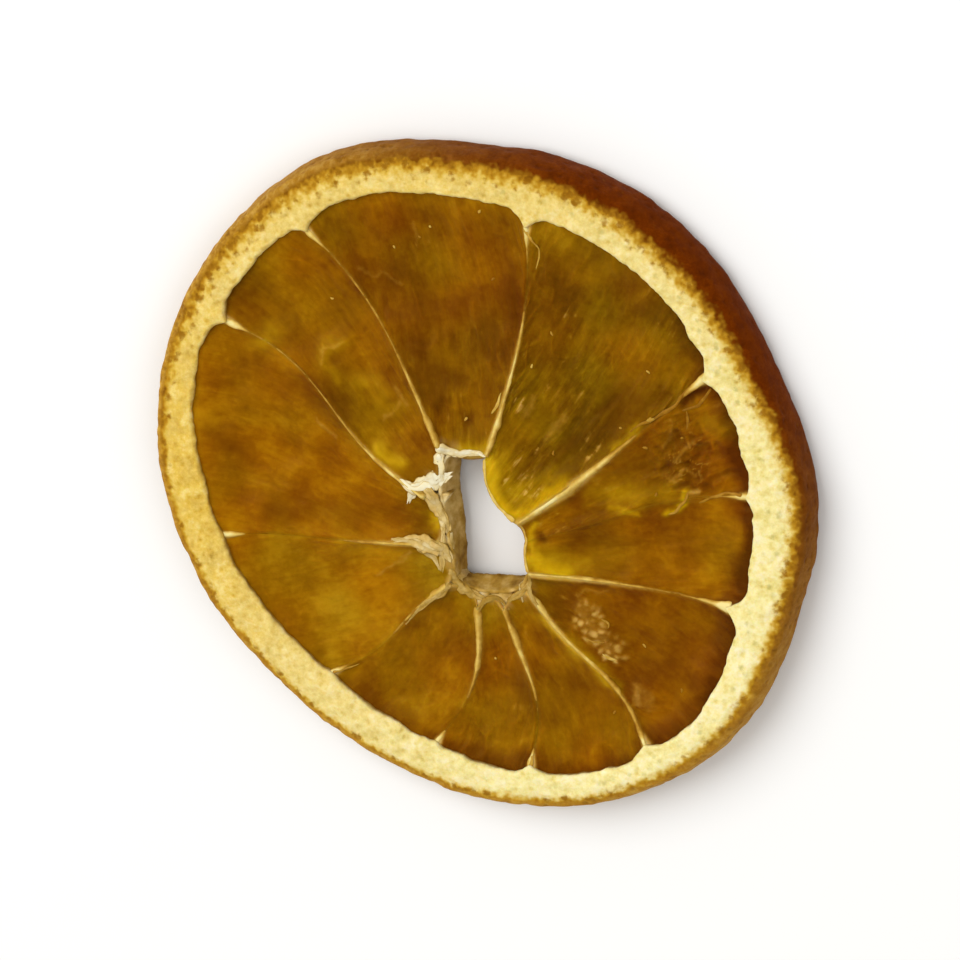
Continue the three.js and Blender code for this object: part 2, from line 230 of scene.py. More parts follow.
# Shreds of pith round the open core: path, half widths at its start, middle and end, paleness
SHREDS = [
    ([(-7.4, -0.2), (-5.9, -0.4), (-4.2, 0.0), (-2.3, 0.6)], (0.3, 1.0, 0.1), 1.0),
    ([(-6.1, -0.6), (-6.5, -1.3), (-6.9, -2.2)], (0.6, 0.45, 0.03), 0.95),
    ([(-5.0, -0.5), (-4.2, -1.9), (-3.5, -3.2), (-3.0, -4.8)], (0.6, 0.65, 0.3), 0.55),
    ([(-3.6, 0.1), (-3.5, 1.3), (-3.3, 2.9)], (0.6, 0.5, 0.55), 0.9),
    ([(-3.6, 3.3), (-2.0, 2.8), (-0.5, 2.8), (1.0, 2.9)], (0.5, 0.3, 0.2), 0.85),
    ([(-8.6, -5.8), (-6.6, -5.8), (-5.0, -5.9), (-3.5, -6.5), (-2.9, -7.6)], (0.15, 0.7, 0.4), 0.55),
    ([(-5.9, -6.1), (-4.6, -7.3), (-3.9, -8.6)], (0.4, 0.35, 0.03), 0.5),
    ([(-3.7, -6.4), (-3.6, -7.6), (-3.8, -8.6)], (0.45, 0.3, 0.03), 0.45),
    ([(-3.8, -3.2), (-3.5, -4.4), (-3.5, -5.9)], (0.2, 0.25, 0.3), 0.55),
    ([(-7.6, -14.0), (-5.8, -12.0), (-4.0, -10.7), (-2.9, -9.7)], (0.05, 0.2, 0.35), 0.35),
    ([(-2.9, -8.4), (-2.3, -9.7), (-0.9, -10.7), (0.6, -11.2)], (0.4, 0.5, 0.1), 0.35),
    ([(-0.6, -12.6), (0.3, -11.3), (1.6, -11.1), (2.6, -12.0)], (0.05, 0.3, 0.05), 0.25),
    ([(2.4, -11.2), (3.4, -10.6), (4.5, -9.6), (4.7, -8.5)], (0.2, 0.35, 0.15), 0.3),
    ([(3.6, -9.5), (3.7, -10.3), (3.9, -11.2)], (0.06, 0.16, 0.08), 0.6),
    ([(5.8, -12.2), (4.9, -10.6), (4.5, -9.2)], (0.1, 0.22, 0.15), 0.4),
]

# The torn lining of the open core, from segment to segment along its left side
LINING = [
    (1.0, 2.85), (-1.0, 2.85), (-2.8, 2.4), (-3.5, 0.8), (-3.6, -1.2), (-3.35, -3.6), (-2.95, -5.6),
    (-2.7, -7.6), (-2.45, -9.3), (-1.2, -10.2), (0.8, -10.5), (2.7, -10.3), (3.9, -9.7), (4.5, -8.6),
]

# Loose fibres on the flesh: path, half widths at its start, middle and end, paleness
FIBRES = [
    ([(5.6, 24.3), (6.5, 22.8), (6.9, 21.8), (6.5, 20.4)], (0.2, 0.12, 0.05), 0.45),
    ([(2.7, 8.7), (2.2, 7.5), (1.6, 6.6)], (0.05, 0.18, 0.06), 0.6),
    ([(14.6, 5.3), (15.5, 6.0), (16.8, 6.6), (17.8, 7.2), (19.0, 8.0), (19.9, 9.1), (21.6, 10.8)],
     (0.08, 0.18, 0.12), 0.2),
    ([(16.3, 6.5), (17.4, 6.9)], (0.1, 0.24, 0.1), 0.45),
    ([(19.6, 7.5), (21.0, 8.0), (21.8, 8.8), (22.5, 9.8)], (0.1, 0.14, 0.1), 0.15),
    ([(20.0, 7.5), (20.2, 6.5), (20.0, 5.7)], (0.08, 0.14, 0.06), 0.15),
    ([(18.0, -2.3), (18.8, -1.9), (19.6, -1.1), (20.0, 0.0)], (0.1, 0.16, 0.08), 0.35),
    ([(25.2, -0.1), (23.6, 0.0), (22.0, -0.6), (20.9, -1.1)], (0.2, 0.16, 0.08), 0.25),
    ([(-15.0, -19.0), (-13.8, -18.6), (-12.5, -18.2)], (0.2, 0.14, 0.04), 0.4),
    ([(4.0, -27.2), (4.3, -25.5)], (0.24, 0.12, 0.04), 0.5),
    ([(11.2, -12.5), (11.8, -12.9), (11.9, -13.4)], (0.05, 0.12, 0.05), 0.35),
    ([(9.8, -14.4), (10.7, -14.8), (11.6, -14.7)], (0.05, 0.12, 0.05), 0.35),
    ([(11.3, -15.8), (11.9, -16.2), (12.7, -16.4)], (0.05, 0.16, 0.05), 0.6),
]

# A cluster of shrivelled juice sacs: x, y and paleness of each, and how far one reaches. The paleness
# is partly the sacs' own lighter tan and partly a painted highlight on their tops
SAC_REACH = 0.46
SACS = [
    (9.1, -11.3, 0.1), (9.8, -11.0, 0.2), (10.5, -11.4, 0.05), (10.9, -11.9, 0.35), (11.4, -12.3, 0.15),
    (10.1, -12.0, 0.05), (9.3, -12.0, 0.1), (8.7, -12.6, 0.3), (9.4, -12.9, 0.4), (10.1, -12.8, 0.15),
    (10.8, -12.7, 0.05), (11.6, -13.0, 0.2), (9.9, -13.6, 0.2), (10.6, -13.7, 0.4), (11.3, -13.7, 0.3),
    (12.0, -13.9, 0.1), (10.0, -14.4, 0.25), (10.8, -14.6, 0.3), (11.6, -14.6, 0.1), (12.3, -14.8, 0.15),
    (13.0, -15.3, 0.25), (11.2, -15.4, 0.2), (12.0, -15.6, 0.3), (12.8, -16.0, 0.2), (11.6, -16.2, 0.55),
    (12.4, -16.5, 0.45), (13.4, -16.3, 0.1), (9.0, -13.4, 0.05), (12.7, -14.2, 0.0), (13.3, -14.8, 0.05),
]

# Painted highlights: light specks on the flesh, each a short pale strand where the flesh glints
PAINTED_GLINTS = [
    (19.5, 4.8), (16.0, 3.9), (13.7, 5.6), (7.3, 3.0), (16.9, -0.4), (1.4, 25.7), (16.5, 11.0), (15.2, -15.0),
    (-4.7, 22.9), (-3.6, 23.9), (-7.1, 21.9), (2.3, 19.2), (-13.5, 16.8), (-1.0, 5.9), (7.6, 14.3),
    (5.6, 11.2), (12.2, -21.5), (18.7, -19.0), (0.8, -17.0),
]

# The flesh reaches this share of the way to the cut edge, and a segment is about this long
FLESH_SHARE = 0.87
FLESH_LENGTH = 22

# Texture of the fibres: how fine it is across a segment and along it, and how far apart two
# segments lie in it
FIBRES_ACROSS = 1.5
FIBRES_ALONG = 6.2
TEXTURES_APART = 20

# Fineness of the meshes
FLESH_STEP = 0.15
FLESH_ROWS = 118
WALL_ROWS = 6
RIM_COLUMNS = 920
STRAND_STEP = 0.13
STRAND_SIDES = 12
TOP_ACROSS = np.array([1, 0.9, 0.7, 0.42, 0.14, -0.14, -0.42, -0.7, -0.9, -1])

# The grid of the noise is turned, so that it lines up with no side of the slice
NOISE_TURN = np.array(Matrix.Rotation(0.9, 3, Vector((0.48, 0.64, 0.6))))

# The camera leans this far from straight above, towards this direction of the slice
CAMERA_LEAN = math.radians(24)
CAMERA_TOWARD = math.radians(42)
CAMERA_DISTANCE = 0.6
CAMERA_AIM_HEIGHT = 3.3
VIEW_WIDTH = 0.088

# How brightly the lights show a level surface, which colours are divided by
LIGHT_LEVEL = 1.15


def around(values, degrees):
    """A smooth closed curve through values that are evenly spaced round the slice."""
    place = np.asarray(degrees, float) / 360 % 1 * len(values)
    at = np.floor(place).astype(int)
    t = place - at
    a, b, c, d = (values[(at + step) % len(values)] for step in (-1, 0, 1, 2))
    slope, next_slope = 0.5 * (c - a), 0.5 * (d - b)
    square = 3 * (c - b) - 2 * slope - next_slope
    cubic = 2 * (b - c) + slope + next_slope
    return b + t * (slope + t * (square + t * cubic))


def polar(radius, degrees):
    angle = np.radians(degrees)
    return np.stack([radius * np.cos(angle), radius * np.sin(angle)], -1)


def belly_at(degrees):
    """How far the rind stands out below the cut edge in a direction."""
    away = (np.asarray(degrees) - BELLY_EXTRA_AT + 180) % 360 - 180
    return BELLY + BELLY_EXTRA * np.exp(-((away / BELLY_EXTRA_SPREAD) ** 2))


def warp(place):
    angle = np.arctan2(place[..., 1], place[..., 0])
    reach = (place[..., 0] ** 2 + place[..., 1] ** 2) / WARP_REACH**2
    lobes = WARP_LOBES * np.cos(3 * (angle - WARP_LOBES_AT))
    saddle = WARP_SADDLE * np.cos(2 * (angle - WARP_SADDLE_AT))
    return reach * (lobes + saddle)


def random_at(cell, seed):
    """A repeatable random value from -1 to 1 for each whole-numbered place."""
    x, y, z = (cell[..., axis] for axis in range(3))
    mixed = (x * 73856093) ^ (y * 19349663) ^ (z * 83492791) ^ (seed * 2654435761)
    mixed = (mixed ^ (mixed >> 13)) * 1274126177 & 0xFFFFFFFF
    return ((mixed ^ (mixed >> 16)) & 0xFFFF) / 32767.5 - 1


def noise(place, size, seed):
    """Smooth random values, mostly -1 to 1, that change over about size, which may differ by axis."""
    place = place / np.asarray(size, float)
    if place.shape[-1] == 2:
        place = np.concatenate([place, np.zeros_like(place[..., :1])], -1)
    place = place @ NOISE_TURN
    cell = np.floor(place).astype(np.int64)
    blend = place - cell
    blend = blend**3 * (blend * (6 * blend - 15) + 10)
    total = np.zeros(place.shape[:-1])
    for corner in range(8):
        step = np.array([corner & 1, corner >> 1 & 1, corner >> 2 & 1])
        total += np.prod(np.where(step, blend, 1 - blend), -1) * random_at(cell + step, seed)
    return 1.25 * total


def pits(place, size, seed, reach=0.4):
    """Depth, from 0 to 1, of small round pits with about one to each cell of the size given."""
    place = place / size
    cell = np.floor(place).astype(np.int64)
    nearest = np.full(place.shape[:-1], 9.0)
    for step in np.ndindex(3, 3, 3):
        spot = cell + np.array(step) - 1
        middle = spot + 0.5 + 0.4 * np.stack([random_at(spot, seed + axis) for axis in range(3)], -1)
        nearest = np.minimum(nearest, norm(place - middle, axis=-1))
    return smooth_step(reach, 0.0, nearest)


def layered_noise(place, size, seed, layers=3):
    size = np.asarray(size, float)
    return sum(noise(place, size / 2**layer, seed + layer) / 2**layer for layer in range(layers))


def folds(place, size, seed):
    """Heights, from 0 to 1, of narrow winding folds."""
    return np.maximum(0, 1 - 1.8 * np.abs(noise(place, size, seed))) ** 2


def smooth_step(low, high, value):
    t = np.clip((value - low) / (high - low), 0, 1)
    return t * t * (3 - 2 * t)


def distance_to_path(places, path):
    """How far each place is from a path of straight stretches."""
    nearest = np.full(places.shape[:-1], np.inf)
    spots = [np.array(spot) for spot in path]
    for start, end in zip(spots, spots[1:] or spots):
        along = end - start
        length = max(along @ along, 1e-9)
        share = np.clip((places - start) @ along / length, 0, 1)
        nearest = np.minimum(nearest, norm(places - start - share[..., None] * along, axis=-1))
    return nearest


def smooth_path(points, step):
    """Evenly spaced places on a smooth curve through the points."""
    points = np.asarray(points, float)
    padded = np.concatenate([2 * points[:1] - points[1:2], points, 2 * points[-1:] - points[-2:-1]])
    curve = []
    for a, b, c, d in zip(padded, padded[1:], padded[2:], padded[3:]):
        t = np.linspace(0, 1, 16, endpoint=False)[:, None]
        bend, twist = 2 * a - 5 * b + 4 * c - d, 3 * b - a - 3 * c + d
        curve.append(0.5 * (2 * b + (c - a) * t + bend * t**2 + twist * t**3))
    curve = np.concatenate([*curve, points[-1:]])
    length = np.concatenate([[0], np.cumsum(norm(np.diff(curve, axis=0), axis=1))])
    count = max(5, int(length[-1] / step) + 1)
    at = np.linspace(0, length[-1], count)
    return np.stack([np.interp(at, length, curve[:, axis]) for axis in range(curve.shape[1])], -1)


def core_place(index, share):
    """The open core's edge between two membranes, with the segment's rounded end."""
    start = np.array(MEMBRANES[index]["end"])
    end = np.array(MEMBRANES[(index + 1) % len(MEMBRANES)]["end"])
    side = np.array([-(end - start)[1], (end - start)[0]])
    side = side / norm(side)
    if (OPEN_CORE_MIDDLE - start) @ side < 0:
        side = -side
    bulge = SEGMENTS[index]["tip"] * np.sin(np.pi * share) ** 0.8
    return start + share[..., None] * (end - start) + bulge[..., None] * side


def rim_angles(index):
    """Directions of a segment's two membranes at the rim, the second the larger."""
    first = MEMBRANES[index]["rim"]
    second = MEMBRANES[(index + 1) % len(MEMBRANES)]["rim"]
    return first, second if second > first else second + 360


def pith_radius(index, share):
    """Radius of the pith's inner edge: it comes to a point at each membrane."""
    first, last = rim_angles(index)
    degrees = first + share * (last - first)
    radius = around(CUT_EDGE_RADII, degrees)
    length = np.radians(last - first) * radius

    def point(cusp, away):
        return cusp * np.maximum(0, 1 - away * length / CUSP_WIDTH) ** 2

    points = point(MEMBRANES[index]["cusp"], share)
    points = points + point(MEMBRANES[(index + 1) % len(MEMBRANES)]["cusp"], 1 - share)
    teeth = 0.13 * layered_noise(polar(30, degrees), 2.2, 11)
    return degrees, radius - around(PITH_WIDTHS, degrees) - points + teeth


def flesh_place(index, share, t):
    """Place in the flesh at t, from the open core (0) to the pith (1), bent as the membranes are."""
    first, second = MEMBRANES[index], MEMBRANES[(index + 1) % len(MEMBRANES)]
    bow = (first["bow"] + share * (second["bow"] - first["bow"])) * np.sin(np.pi * t)
    sway = (first["sway"] + share * (second["sway"] - first["sway"])) * np.sin(2 * np.pi * t)
    core = core_place(index, share)
    degrees, radius = pith_radius(index, share)
    along = polar(radius, degrees) - core
    length = norm(along, axis=-1, keepdims=True)
    side = np.stack([-along[..., 1], along[..., 0]], -1) / length
    return core + t[..., None] * along + (bow + sway)[..., None] * side


def level_sink(t):
    """How far the flesh lies below the rim's level, without its relief."""
    return SINK_AT_CORE + (SINK_AT_PITH - SINK_AT_CORE) * t**0.8


def raw_middle():
    """Middle of the box round the rind, which is where the solid has its origin."""
    degrees = np.arange(0, 360, 0.25)
    places = polar(around(CUT_EDGE_RADII, degrees) + belly_at(degrees), degrees)
    return (places.max(0) + places.min(0)) / 2


MIDDLE = raw_middle()


def grid_faces(rows, columns, closed=False):
    """Quads round a tube whose vertices are numbered row by row within each column."""
    column = np.arange(columns if closed else columns - 1)
    c, r = np.meshgrid(column, np.arange(rows), indexing="ij")
    next_c, next_r = (c + 1) % columns, (r + 1) % rows
    quads = np.stack([c * rows + r, c * rows + next_r, next_c * rows + next_r, next_c * rows + r], -1)
    return quads.reshape(-1, 4)


def tube_faces(sides, count):
    """Quads of a tube with an even number of sides, closed at its two ends."""
    ends = []
    for low in range(sides // 2 - 1):
        ring = [low, low + 1, sides - 2 - low, sides - 1 - low]
        ends.append(ring[::-1])
        ends.append([(count - 1) * sides + corner for corner in ring])
    return np.concatenate([grid_faces(sides, count), np.array(ends)])


def make_piece(name, places, faces, material, values=None):
    """A smooth-shaded piece from places in millimetres, with a number at each vertex for each value."""
    mesh = bpy.data.meshes.new(name)
    places = places.reshape(-1, 3).copy()
    places[:, :2] -= MIDDLE
    mesh.vertices.add(len(places))
    mesh.vertices.foreach_set("co", (places * MM).ravel())
    corners = np.asarray(faces)
    mesh.loops.add(corners.size)
    mesh.loops.foreach_set("vertex_index", corners.ravel())
    mesh.polygons.add(len(corners))
    mesh.polygons.foreach_set("loop_start", np.arange(0, corners.size, corners.shape[1]))
    mesh.update(calc_edges=True)
    mesh.validate()
    mesh.shade_smooth()
    for key, numbers in (values or {}).items():
        layer = mesh.attributes.new(key, "FLOAT", "POINT")
        layer.data.foreach_set("value", np.asarray(numbers, np.float32).ravel())
    piece = bpy.data.objects.new(name, mesh)
    bpy.context.scene.collection.objects.link(piece)
    mesh.materials.append(material)
    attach(piece, "root")
    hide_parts(NODE)


class Nodes:
    """Short calls for building one material's nodes."""

    def __init__(self, name):
        self.material = bpy.data.materials.new(name)
        self.material.use_nodes = True
        self.tree = self.material.node_tree
        self.shader = self.tree.nodes["Principled BSDF"]

    def add(self, kind, settings=None, **inputs):
        node = self.tree.nodes.new(kind)
        for key, value in (settings or {}).items():
            setattr(node, key, value)
        for key, value in inputs.items():
            self.put(node.inputs[key.replace("_", " ")], value)
        return node

    def put(self, socket, value):
        if isinstance(value, bpy.types.NodeSocket):
            self.tree.links.new(value, socket)
        else:
            socket.default_value = value

    def set(self, name, value):
        self.put(self.shader.inputs[name], value)

    def value(self, name):
        return self.add("ShaderNodeAttribute", {"attribute_name": name}).outputs["Fac"]

    def math(self, operation, first, second=0.0):
        node = self.add("ShaderNodeMath", {"operation": operation})
        self.put(node.inputs[0], first)
        self.put(node.inputs[1], second)
        return node.outputs[0]

    def vary(self, value, texture, amount):
        """A value made to vary by a texture whose middle is 0.5."""
        return self.math("ADD", value, self.math("MULTIPLY", self.math("SUBTRACT", texture, 0.5), amount))

    def span(self, value, low, high, to_low=0.0, to_high=1.0):
        node = self.add("ShaderNodeMapRange", {"interpolation_type": "SMOOTHSTEP"})
        numbers = (value, low, high, to_low, to_high)
        for socket, number in zip(node.inputs, numbers):
            self.put(socket, number)
        return node.outputs[0]

    def mix(self, share, first, second):
        node = self.add("ShaderNodeMix", {"data_type": "RGBA"})
        self.put(node.inputs["Factor"], share)
        self.put(node.inputs[6], first)
        self.put(node.inputs[7], second)
        return node.outputs[2]

    def ramp(self, value, *colours):
        """Colours in evenly spaced steps from 0 to 1."""
        node = self.add("ShaderNodeValToRGB", Fac=value)
        elements = node.color_ramp.elements
        while len(elements) < len(colours):
            elements.new(0.5)
        for number, (element, one) in enumerate(zip(elements, colours)):
            element.position = number / (len(colours) - 1)
            element.color = colour(*one)
        return node.outputs[0]

    def place(self):
        """The object's own coordinates in millimetres."""
        place = self.add("ShaderNodeTexCoord").outputs["Object"]
        node = self.add("ShaderNodeMapping", Vector=place)
        node.inputs["Scale"].default_value = [1 / MM] * 3
        return node.outputs[0]

    def noise(self, place, scale, detail=2.0, roughness=0.5):
        node = self.add("ShaderNodeTexNoise", Vector=place, Scale=scale, Detail=detail, Roughness=roughness)
        return node.outputs["Fac"]

    def cells(self, place, scale):
        return self.add("ShaderNodeTexVoronoi", Vector=place, Scale=scale).outputs["Distance"]

    def bump(self, height, strength, distance):
        return self.add("ShaderNodeBump", Height=height, Strength=strength, Distance=distance * MM).outputs[0]


def colour(red, green, blue):
    """A shader colour from the eight-bit colour that is seen under the lights."""
    parts = [number / 255 for number in (red, green, blue)]
    linear = [part / 12.92 if part <= 0.04045 else ((part + 0.055) / 1.055) ** 2.4 for part in parts]
    return (*[part / LIGHT_LEVEL for part in linear], 1.0)


def soften(n, weight, radius, size):
    """Light that enters the surface and spreads under it."""
    n.set("Subsurface Weight", weight)
    n.set("Subsurface Radius", radius)
    n.set("Subsurface Scale", size * MM)


def shine(n, level, tint):
    n.set("Specular IOR Level", level)
    n.set("Specular Tint", tint)


def flesh_material():
    n = Nodes("flesh")
    place = n.place()
    fibre = n.add("ShaderNodeCombineXYZ", X=n.value("fibre_across"), Y=n.value("fibre_along")).outputs[0]
    streak = n.noise(fibre, 1.2, 4.0, 0.6)
    crumbs = n.noise(place, 1.5, 4.0, 0.65)
    shade = n.vary(n.value("tone"), streak, 0.3)
    shade = n.vary(shade, crumbs, 0.35)
    shade = n.vary(shade, n.noise(place, 0.45, 4.0, 0.6), 0.6)
    shade = n.vary(shade, n.noise(fibre, 0.75, 5.0, 0.7), n.value("grainy"))
    red = n.ramp(shade, (88, 36, 0), (118, 60, 0), (148, 89, 0), (180, 122, 4))
    olive = n.ramp(shade, (74, 47, 0), (106, 73, 0), (138, 103, 2), (172, 137, 18))
    base = n.mix(n.value("olive"), red, olive)
    wisps = n.span(n.noise(fibre, 1.2, 2.0), 0.38, 0.85, 0.0, 0.55)
    wisps = n.math("MULTIPLY", wisps, n.span(n.noise(place, 0.9, 3.0), 0.35, 0.65))
    wisps = n.math("MULTIPLY", wisps, n.value("grainy"))
    # The paleness includes painted highlights on the crumples' crests and on the juice sacs.
    pale = n.vary(n.math("MAXIMUM", n.value("pale"), wisps), n.noise(place, 1.8, 3.0), 0.25)
    fibres = n.ramp(pale, (150, 100, 10), (180, 132, 40), (208, 166, 84), (228, 198, 134))
    base = n.mix(n.span(pale, 0.08, 0.7, 0.0, 0.95), base, fibres)
    golden = n.ramp(shade, (150, 108, 0), (200, 156, 6), (222, 186, 30))
    base = n.mix(n.value("yellow"), base, golden)
    # Dark marks, and painted shade in the crumples' hollows
    base = n.mix(n.value("dark"), base, colour(84, 34, 0))
    mottle = n.noise(place, 1.4, 3.0)
    base = n.mix(n.value("end_wall"), base, n.ramp(mottle, (96, 62, 6), (140, 104, 28), (176, 142, 62)))
    pith = n.ramp(mottle, (170, 128, 44), (206, 168, 92), (228, 202, 138))
    base = n.mix(n.value("pithy"), base, pith)
    n.set("Base Color", base)
    soften(n, 0.45, (1.0, 0.42, 0.05), 1.2)
    shine(n, 0.16, (1.0, 0.55, 0.08, 1))
    n.set("Roughness", n.span(crumbs, 0.35, 0.65, 0.36, 0.56))
    height = n.math("ADD", n.math("MULTIPLY", streak, 0.6), n.math("MULTIPLY", crumbs, 0.8))
    n.set("Normal", n.bump(height, 0.35, 0.12))
    return n.material


def rim_material():
    n = Nodes("pith_and_rind")
    place = n.place()
    coarse = n.noise(place, 1.2, 4.0, 0.6)
    fine = n.noise(place, 3.8, 3.0, 0.6)
    sponge = n.noise(place, 1.5, 5.0, 0.65)
    patches = n.noise(place, 0.42, 3.0, 0.55)
    grain = n.vary(n.vary(sponge, fine, 0.35), n.value("pit"), -0.3)
    streaks = n.vary(n.vary(grain, patches, 1.5), coarse, 0.6)
    cream = n.ramp(streaks, (190, 166, 76), (232, 212, 128), (248, 235, 166), (254, 247, 206))
    honey = n.ramp(streaks, (168, 120, 22), (208, 164, 52), (230, 194, 86), (244, 220, 136))
    pith = n.mix(n.vary(n.value("golden"), patches, 1.4), cream, honey)
    vessels = n.span(n.vary(n.cells(place, 0.9), fine, 0.3), 0.06, 0.36, 0.75, 0.0)
    pith = n.mix(n.math("MULTIPLY", vessels, n.value("vessels")), pith, colour(168, 160, 84))

    depth = n.value("skin_depth")
    inward = n.math("DIVIDE", depth, n.value("speckle_reach"))
    blotches = n.noise(place, 1.4, 1.0)
    inward = n.vary(n.vary(inward, blotches, 1.4), fine, 0.3)
    zone_stops = ((122, 72, 8), (184, 134, 30), (216, 176, 62), (234, 202, 108))
    zone = n.ramp(n.math("MULTIPLY", inward, 0.8), *zone_stops)
    base = n.mix(n.span(inward, 0.5, 1.5), zone, pith)

    mottle = n.vary(n.noise(place, 0.8, 4.0, 0.6), fine, 0.5)
    # The darker peel is painted shade, as if slices lying against the upper right shaded the rind; the
    # lighter peel is the rind's own colour, and a value given for each direction mixes the two.
    peel_in_painted_shade = n.ramp(mottle, (70, 20, 0), (102, 40, 0), (132, 60, 0))
    light_peel = n.ramp(mottle, (142, 86, 12), (194, 142, 44), (224, 186, 92))
    peel = n.mix(n.value("rind_out_of_painted_shade"), peel_in_painted_shade, light_peel)
    pale_peel = n.ramp(n.vary(mottle, blotches, 1.4), (120, 72, 8), (184, 136, 42), (226, 188, 96))
    peel = n.mix(n.value("pale_edge"), peel, pale_peel)
    peel = n.mix(n.math("MULTIPLY", n.value("pit"), 0.5), peel, colour(74, 26, 0))
    skin = n.span(n.vary(depth, blotches, 0.4), 0.08, 0.4, 1.0, 0.0)
    base = n.mix(skin, base, peel)
    ragged = n.vary(n.vary(n.cells(place, 1.0), coarse, 0.9), fine, 0.4)
    gland = n.math("MULTIPLY", n.span(ragged, 0.2, 0.5, 0.8, 0.0), n.span(inward, 0.7, 1.3, 1.0, 0.0))
    speckled = n.math("MAXIMUM", n.math("SUBTRACT", 1.0, skin), n.value("pale_edge"))
    gland_colour = n.ramp(coarse, (110, 64, 6), (148, 98, 18), (186, 134, 40))
    base = n.mix(n.math("MULTIPLY", gland, speckled), base, gland_colour)
    inside = n.ramp(coarse, (112, 70, 6), (150, 106, 26), (190, 148, 62))
    n.set("Base Color", n.mix(n.value("inner_wall"), base, inside))

    soften(n, 0.25, (1.0, 0.6, 0.2), 0.6)
    shine(n, 0.06, (1.0, 0.55, 0.15, 1))
    n.set("Roughness", n.span(skin, 0.0, 1.0, 0.85, 0.65))
    n.set("Normal", n.bump(n.math("ADD", sponge, fine), 0.35, 0.13))
    return n.material


def strand_material():
    """The membranes' edges and the loose fibres, from flesh-coloured to cream."""
    n = Nodes("strand")
    place = n.place()
    shade = n.vary(n.value("pale"), n.noise(place, 1.7, 3.0), 0.5)
    stops = ((122, 74, 2), (162, 112, 22), (200, 156, 60), (228, 196, 104), (244, 226, 152))
    n.set("Base Color", n.ramp(shade, *stops))
    soften(n, 0.3, (1.0, 0.75, 0.5), 0.4)
    shine(n, 0.2, (1.0, 0.75, 0.4, 1))
    n.set("Roughness", 0.4)
    n.set("Normal", n.bump(n.noise(place, 4.0, 3.0), 0.3, 0.08))
    return n.material


def shred_material():
    n = Nodes("pith_shred")
    place = n.place()
    shade = n.vary(n.value("pale"), n.noise(place, 1.2, 3.0, 0.6), 0.6)
    stops = ((128, 88, 12), (176, 136, 54), (216, 180, 106), (244, 220, 162), (253, 240, 200))
    n.set("Base Color", n.ramp(shade, *stops))
    soften(n, 0.25, (1.0, 0.8, 0.6), 0.35)
    shine(n, 0.1, (1.0, 0.8, 0.5, 1))
    n.set("Roughness", 0.65)
    n.set("Normal", n.bump(n.noise(place, 3.0, 4.0), 0.35, 0.12))
    return n.material


def edge_measures(index, t):
    """Crest, half width and paleness of a membrane's edge, from the open core to the rim.

    The pith runs a little way along each membrane.
    """
    steps = np.linspace(0, 1, 5)
    crest, half, pale = (np.interp(t, steps, values) for values in EDGES[index])
    pithy = smooth_step(0.86, 1.0, t)
    return crest, half + 0.2 * pithy**2, np.maximum(pale, pithy)


def lip_height(index, share, t):
    """How much higher a segment's end stands by the open core, the same on both sides of a membrane."""
    before, own, after = (SEGMENTS[(index + step) % len(SEGMENTS)]["lip"] for step in (-1, 0, 1))
    first, second = smooth_step(0.3, 0, share), smooth_step(0.7, 1, share)
    lip = own + 0.5 * (before - own) * first + 0.5 * (after - own) * second
    return lip * np.maximum(0, 1 - t / LIP_REACH)


def segment_gaps(index, share, t):
    """Each membrane of a segment with its distance from places in the segment."""
    first, second = (flesh_place(index, np.full_like(t, end), t) for end in (0, 1))
    width = norm(second - first, axis=-1)
    return (index, share * width), ((index + 1) % len(MEMBRANES), (1 - share) * width)


def flesh_levels(index, share, t):
    """Heights of a segment's upper and lower face without their fine relief.

    The flesh sags between its membranes, rises to them and climbs a little at the pith.
    """
    place = flesh_place(index, share, t)
    base = WARP_LIFT + warp(place)
    lengthwise = np.sin(np.pi * (0.12 + 0.86 * t))
    sag = SEGMENTS[index]["sag"] * lengthwise * np.maximum(0, np.sin(np.pi * share)) ** 0.8
    lip = lip_height(index, share, t)
    ridge = np.zeros_like(t)
    for edge, gap in segment_gaps(index, share, t):
        crest, half, _ = edge_measures(edge, t)
        ridge += crest * np.exp(-((gap / (half + 0.25)) ** 2))
    climb = smooth_step(0.84 + 0.04 * noise(place, 2.5, 41), 1.02, t)
    round_end = 0.35 * np.maximum(0, 1 - t / 0.022) ** 2
    top = base + RIM_HEIGHT - level_sink(t) - sag + lip + ridge + PITH_CLIMB * climb - round_end
    hollow = UNDERSIDE_RELIEF * (level_sink(t) + sag - lip - SINK_AT_PITH)
    bottom = base + UNDERSIDE_SINK + hollow - 0.5 * ridge - 0.3 * climb
    return top, bottom


def mark_flesh(place):
    """The rise and the colours that the marks give to places on the flesh."""
    rise = np.zeros(place.shape[:-1])
    amounts = {kind: rise.copy() for kind in MARKS}
    ragged = place + 0.25 * np.stack([layered_noise(place, 1.4, 401), layered_noise(place, 1.4, 404)], -1)
    for kind, marks in MARKS.items():
        for strength, reach, height, path in marks:
            amount = np.exp(-((distance_to_path(ragged, path) / reach) ** 2))
            amounts[kind] = np.maximum(amounts[kind], strength * amount)
            rise += height * amount
    # Each sac is palest at its middle: partly its lighter tan, partly painted highlight.
    for x, y, light in SACS:
        amount = np.exp(-((distance_to_path(ragged, [(x, y)]) / SAC_REACH) ** 2))
        amounts["pale"] = np.maximum(amounts["pale"], (0.35 + 0.9 * light) * amount)
        rise += 0.12 * amount
    return rise, amounts


